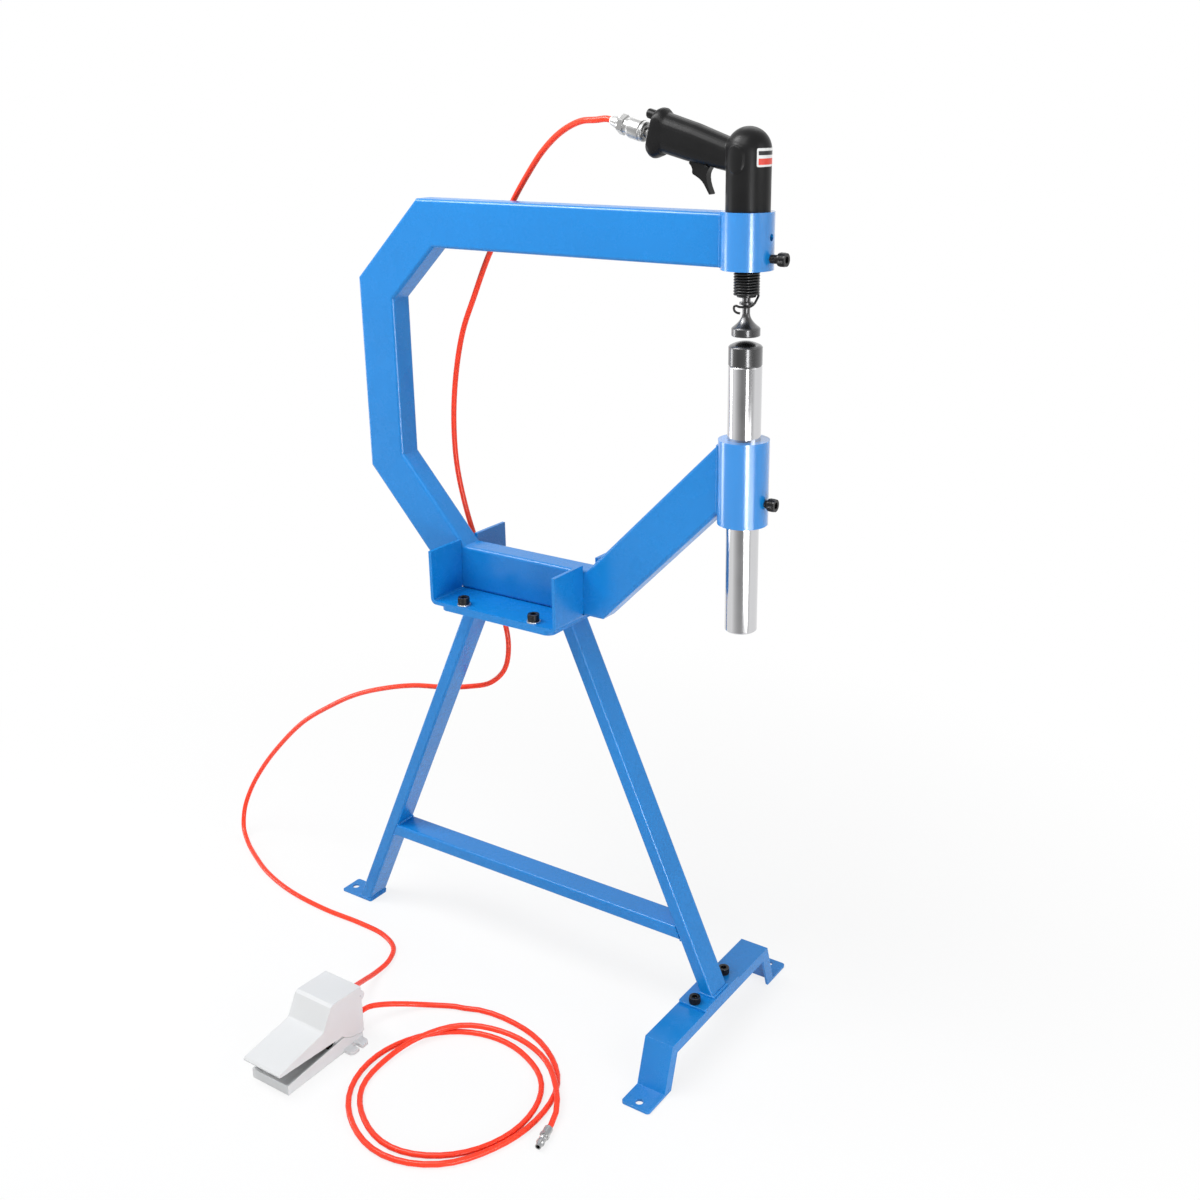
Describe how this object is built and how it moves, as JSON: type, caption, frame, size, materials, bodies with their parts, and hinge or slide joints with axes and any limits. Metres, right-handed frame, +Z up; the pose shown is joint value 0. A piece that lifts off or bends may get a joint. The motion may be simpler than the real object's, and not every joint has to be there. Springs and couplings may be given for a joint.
{
  "type": "pneumatic planishing hammer",
  "caption": "C-frame sheet-metal planishing hammer on an A-frame stand, with an air hammer over an anvil post and a foot-operated air valve on a coiled hose.",
  "frame": {"origin": "on the floor, midway between the two anchor holes of the front foot", "axes": "+X from the column towards the tool, +Y to the side away from the foot valve, +Z up"},
  "size_m": [1.1122, 0.6491, 1.2864],
  "materials": {
    "frame_paint": "gloss powder coat",
    "tool_body": "satin",
    "tool_plastic": "satin",
    "polished_steel": "polished",
    "plated_fitting": "plated",
    "black_steel": "black oxide",
    "zinc_steel": "zinc plated",
    "hose": "smooth",
    "pedal_moulding": "satin"
  },
  "bodies": {
    "frame": {"upper_arm": "frame_paint", "upper_chamfer_tube": "frame_paint", "column": "frame_paint", "lower_chamfer_tube": "frame_paint", "base_tube": "frame_paint", "lower_arm": "frame_paint", "upper_collar": "frame_paint", "lower_collar": "frame_paint", "cradle": "frame_paint", "stand_top_plate": "frame_paint", "rear_leg": "frame_paint", "front_leg": "frame_paint", "crossbar": "frame_paint", "front_foot_plate": "frame_paint", "rear_foot_plate": "frame_paint", "front_foot": "frame_paint", "cradle_bolts": "black_steel", "cradle_washers": "zinc_steel", "foot_bolts": "black_steel", "foot_nuts": "zinc_steel", "hammer_housing": "tool_body", "hammer_cylinder": "polished_steel", "valve_block": "zinc_steel", "retainer_spring": "black_steel", "trigger_pin": "polished_steel", "inlet_plug": "plated_fitting", "coupler_body": "plated_fitting", "hose_nut": "plated_fitting", "hammer_hose": "hose", "supply_hose": "hose", "supply_hose_coil": "hose", "supply_plug": "plated_fitting", "pedal_base": "pedal_moulding", "pedal_pivot_pin": "zinc_steel", "pedal_valve_body": "zinc_steel", "pedal_fittings": "plated_fitting", "pedal_screws": "zinc_steel"},
    "die": {"hammer_die": "polished_steel"},
    "piston": {"piston": "polished_steel"},
    "trigger": {"trigger": "tool_plastic"},
    "throttle": {"throttle_valve": "polished_steel"},
    "regulator": {"regulator_knob": "tool_plastic"},
    "coupler_collar": {"coupler_sleeve": "plated_fitting"},
    "barrel_clamp": {"barrel_clamp_screw": "black_steel"},
    "post_clamp": {"post_clamp_screw": "black_steel"},
    "post": {"anvil_post": "polished_steel"},
    "anvil": {"anvil_die": "polished_steel"},
    "treadle": {"pedal_treadle": "pedal_moulding"},
    "spool": {"pedal_spool": "polished_steel"}
  },
  "joints": [
    {"name": "die_stroke", "type": "slide", "parent": "frame", "child": "die", "axis": [0, 0, 1], "range_m": [0, 0.005]},
    {"name": "piston_stroke", "type": "slide", "parent": "frame", "child": "piston", "axis": [0, 0, 1], "range_m": [0, 0.042]},
    {"name": "trigger_pull", "type": "hinge", "parent": "frame", "child": "trigger", "pos_m": [-0.01151, 0, 1.21986], "axis": [0, 1, 0], "range_deg": [0, 12], "stiffness_Nm_per_rad": 0.3, "springref_deg": -8.59},
    {"name": "throttle_lift", "type": "slide", "parent": "frame", "child": "throttle", "axis": [0.2588, 0, 0.9659], "range_m": [0, 0.0045]},
    {"name": "regulator_turn", "type": "hinge", "parent": "frame", "child": "regulator", "pos_m": [-0.08442, 0, 1.27615], "axis": [-0.9659, 0, 0.2588], "range_deg": [0, 270]},
    {"name": "coupler_release", "type": "slide", "parent": "frame", "child": "coupler_collar", "axis": [-0.9659, 0, 0.2588], "range_m": [0, 0.005], "stiffness_N_per_m": 600, "springref_m": -0.004},
    {"name": "barrel_clamp_turn", "type": "hinge", "parent": "frame", "child": "barrel_clamp", "pos_m": [0.0843, 0, 1.1155], "axis": [1, 0, 0], "continuous": true},
    {"name": "post_clamp_turn", "type": "hinge", "parent": "frame", "child": "post_clamp", "pos_m": [0.0783, 0, 0.8135], "axis": [1, 0, 0], "continuous": true},
    {"name": "post_height", "type": "slide", "parent": "frame", "child": "post", "axis": [0, 0, 1], "range_m": [-0.08, 0]},
    {"name": "anvil_turn", "type": "hinge", "parent": "post", "child": "anvil", "pos_m": [0.041, 0, 0.9856], "axis": [0, 0, 1], "continuous": true},
    {"name": "treadle_press", "type": "hinge", "parent": "frame", "child": "treadle", "pos_m": [-0.449, -0.286, 0.071], "axis": [1, 0, 0], "range_deg": [0, 4.06], "stiffness_Nm_per_rad": 12, "springref_deg": -6.88},
    {"name": "spool_press", "type": "slide", "parent": "frame", "child": "spool", "axis": [0, 0, -1], "range_m": [0, 0.0035]}
  ],
  "couplings": [
    {"joint": "throttle_lift", "follows": "trigger_pull", "m_per_rad": 0.018},
    {"joint": "spool_press", "follows": "treadle_press", "m_per_rad": 0.041}
  ]
}
